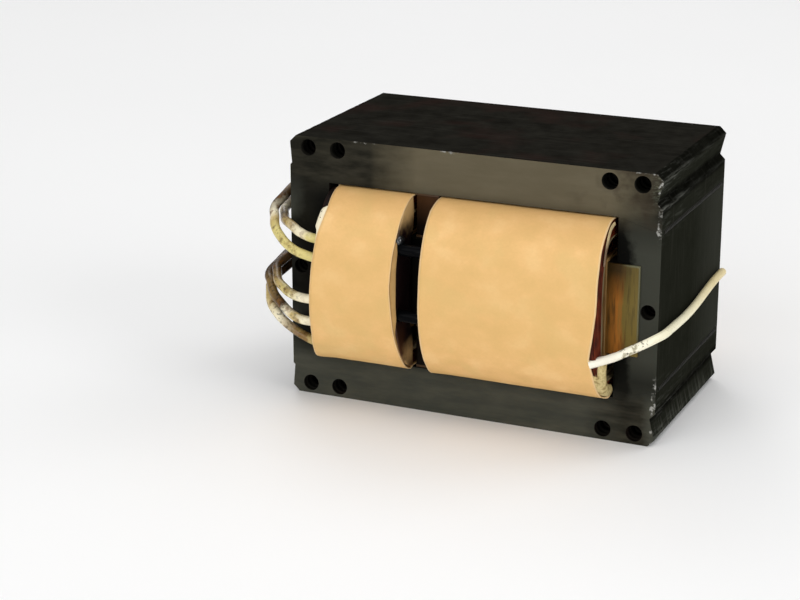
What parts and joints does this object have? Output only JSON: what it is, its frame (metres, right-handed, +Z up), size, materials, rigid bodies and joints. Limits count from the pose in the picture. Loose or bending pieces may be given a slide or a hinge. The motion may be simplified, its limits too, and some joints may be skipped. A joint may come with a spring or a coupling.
{
  "type": "core-and-coil ballast transformer",
  "caption": "Open-frame laminated iron core with layer-wound, paper-wrapped coils, magnetic shunts between them and short flying leads; transforms mains voltage to strike and run a lamp.",
  "frame": {"origin": "centre of the core's footprint, on the surface that the core stands on", "axes": "+X along the coil axis towards the end with the long coil, +Y from the front of the stack to its rear, +Z up through both legs"},
  "size_m": [0.182, 0.13, 0.114],
  "materials": {
    "core_steel": "silicon steel laminations dipped in black-brown varnish",
    "weld_metal": "varnished weld bead",
    "shunt_steel": "varnished steel laminations",
    "spacer_board": "varnished board",
    "tube_board": "varnished kraft board",
    "magnet_wire": "enamelled copper wire under varnish",
    "layer_paper": "varnished cream paper",
    "kraft_wrap": "mottled varnished kraft paper",
    "strip_board": "glossy varnish-soaked pressboard",
    "jumper_sleeve": "glossy black sleeve",
    "varnished_lead": "cream insulation stained by varnish",
    "cream_lead": "cream insulation with a few stains"
  },
  "bodies": {
    "root": {"top_leg": "core_steel", "bottom_leg": "core_steel", "tongue_and_yoke": "core_steel", "right_yoke": "core_steel", "weld_top_left": "weld_metal", "weld_top_right": "weld_metal", "weld_bottom_left": "weld_metal", "weld_bottom_right": "weld_metal", "upper_shunt": "shunt_steel", "lower_shunt": "shunt_steel", "upper_spacers": "spacer_board", "lower_spacers": "spacer_board", "left_tube": "tube_board", "left_inner_winding": "magnet_wire", "left_layer_paper": "layer_paper", "left_outer_winding": "magnet_wire", "left_wrap": "kraft_wrap", "right_tube": "tube_board", "right_inner_winding": "magnet_wire", "right_layer_paper": "layer_paper", "right_outer_winding": "magnet_wire", "right_wrap": "kraft_wrap", "front_strip": "strip_board", "rear_strip": "strip_board", "upper_jumper": "jumper_sleeve", "lower_jumper": "jumper_sleeve", "lead_1": "varnished_lead", "lead_2": "varnished_lead", "lead_3": "varnished_lead", "lead_4": "varnished_lead", "lead_5": "varnished_lead", "lead_6": "cream_lead"}
  },
  "joints": []
}
